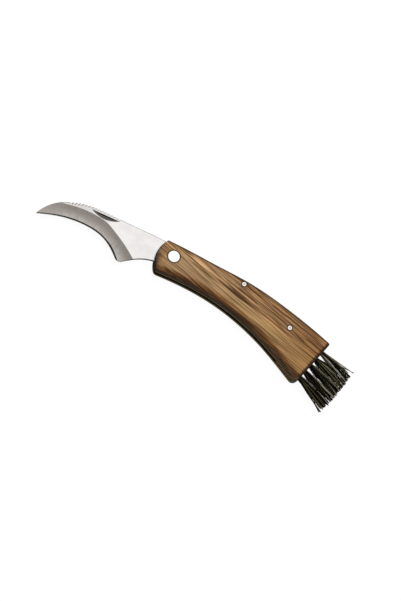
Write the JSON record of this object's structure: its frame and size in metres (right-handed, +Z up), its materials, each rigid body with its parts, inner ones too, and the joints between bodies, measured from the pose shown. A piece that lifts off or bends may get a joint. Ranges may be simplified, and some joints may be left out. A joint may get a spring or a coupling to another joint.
{
  "type": "folding mushroom knife",
  "caption": "Folding mushroom knife with a hooked blade, steel liners, curved wooden scales and a row of bristle tufts in the tail of the handle.",
  "frame": {"origin": "on the blade's pivot axis, at the flat outer face of the lower rivet head, which lies in the resting plane", "axes": "+X along the handle to the brush, +Y to the back of the handle, +Z up through the handle's thickness to the side with the nail nick; the blade is open and points along -X"},
  "size_m": [0.2068, 0.0437, 0.014],
  "materials": {
    "blade_steel": "fine ground bevels, polished flats",
    "liner_steel": "satin",
    "spring_steel": "satin",
    "rivet_steel": "polished",
    "wood": "oiled, brown with light and dark grain",
    "block_wood": "dark grey-brown, matt",
    "bristle": "dark natural hair",
    "bronze": "smooth",
    "anchor_wire": "drawn wire"
  },
  "bodies": {
    "handle": {"near_scale": "wood", "far_scale": "wood", "near_liner": "liner_steel", "far_liner": "liner_steel", "back_spring": "spring_steel", "near_washer": "bronze", "far_washer": "bronze", "pivot_barrel": "rivet_steel", "pivot_post": "rivet_steel", "spring_pin": "rivet_steel", "tail_pin": "rivet_steel", "brush_block": "block_wood", "tuft_anchors": "anchor_wire", "tuft_1": "bristle", "tuft_2": "bristle", "tuft_3": "bristle", "tuft_4": "bristle", "tuft_5": "bristle"},
    "blade": {"blade": "blade_steel"}
  },
  "joints": [
    {"name": "blade_fold", "type": "hinge", "parent": "handle", "child": "blade", "pos_m": [0, 0, 0.007], "axis": [0, 0, 1], "range_deg": [0, 158], "deforming": ["back_spring"]}
  ]
}
